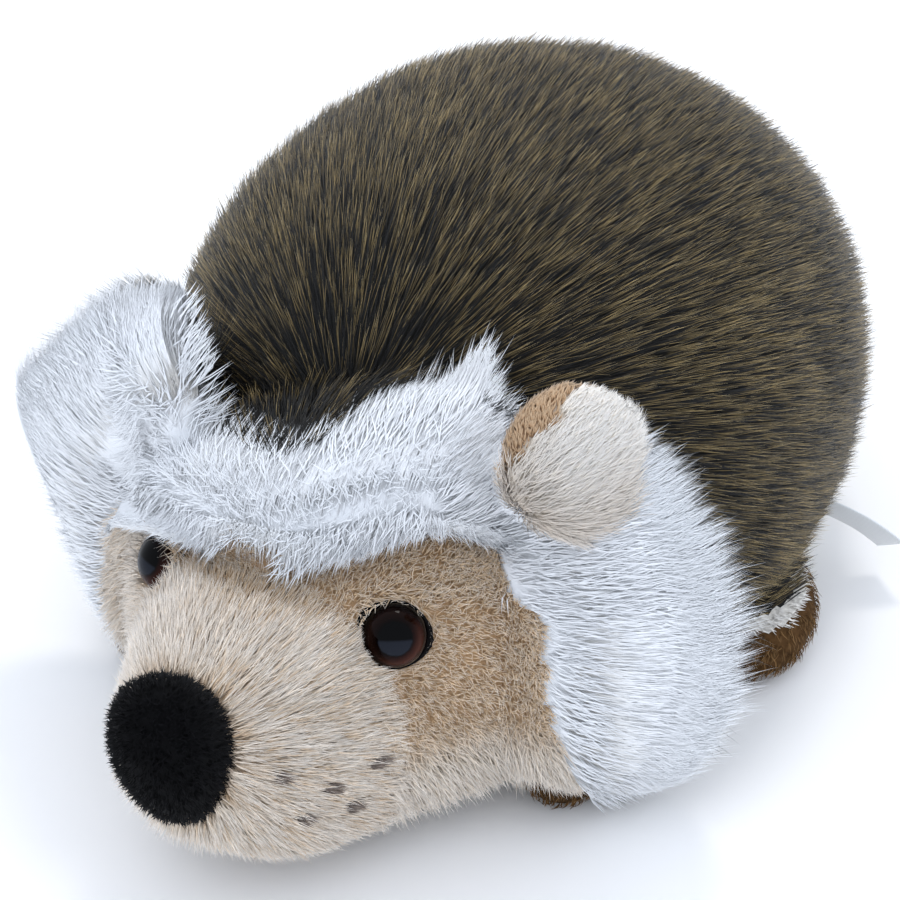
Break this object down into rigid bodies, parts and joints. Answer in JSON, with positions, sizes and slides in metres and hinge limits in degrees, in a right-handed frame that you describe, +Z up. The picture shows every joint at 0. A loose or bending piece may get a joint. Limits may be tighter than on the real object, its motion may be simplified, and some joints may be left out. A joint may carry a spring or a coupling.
{
  "type": "plush toy hedgehog",
  "caption": "Stuffed plush hedgehog on stub feet, with a domed brown back, a white ruff round a tan face, a black nose and round ears.",
  "frame": {"origin": "middle of the toy's outline, on the floor that its soles rest on", "axes": "+Z up, the toy faces -Y, and its left side is at +X"},
  "size_m": [0.1584, 0.2244, 0.1015],
  "materials": {
    "back_plush": "brown and black mottled pile",
    "belly_plush": "short off-white pile",
    "ruff_plush": "long silky white pile",
    "face_plush": "short tan pile with light tips",
    "muzzle_plush": "short cream pile",
    "ear_plush": "tan velour with cream pile inside",
    "foot_plush": "short dark brown pile",
    "nose_plush": "short black pile",
    "eye_plastic": "glossy dark brown dome",
    "label_ribbon": "plain satin ribbon"
  },
  "bodies": {
    "root": {"back_coat": "back_plush", "belly": "belly_plush", "head": "face_plush", "muzzle": "muzzle_plush", "nose": "nose_plush", "eye_left": "eye_plastic", "eye_right": "eye_plastic", "ear_left": "ear_plush", "ear_right": "ear_plush", "ruff_top": "ruff_plush", "ruff_left": "ruff_plush", "ruff_right": "ruff_plush", "foot_front_left": "foot_plush", "foot_front_right": "foot_plush", "foot_hind_left": "foot_plush", "foot_hind_right": "foot_plush", "label": "label_ribbon"}
  },
  "joints": []
}
